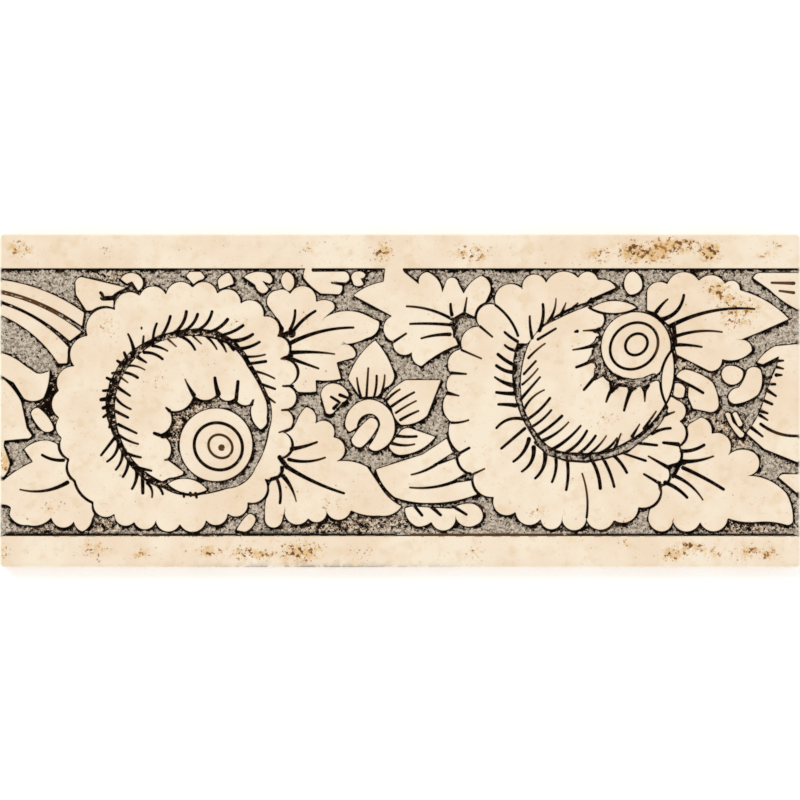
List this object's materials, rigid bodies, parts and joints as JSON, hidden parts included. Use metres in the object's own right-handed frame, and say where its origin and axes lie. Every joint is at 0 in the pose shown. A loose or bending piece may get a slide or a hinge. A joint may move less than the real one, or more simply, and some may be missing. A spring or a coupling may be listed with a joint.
{
  "type": "border tile",
  "caption": "Flat rectangular stone border tile with eased edges and an etched frieze of rosettes, leaves and buds between plain margins.",
  "frame": {"origin": "centre of the flat back face", "axes": "+X along the border, +Y across it towards its upper margin, +Z out of the decorated face"},
  "size_m": [0.305, 0.127, 0.0095],
  "materials": {
    "stone": "honed pale stone with grey-brown pigment in the etched ground"
  },
  "bodies": {
    "root": {"border_tile": "stone"}
  },
  "joints": []
}
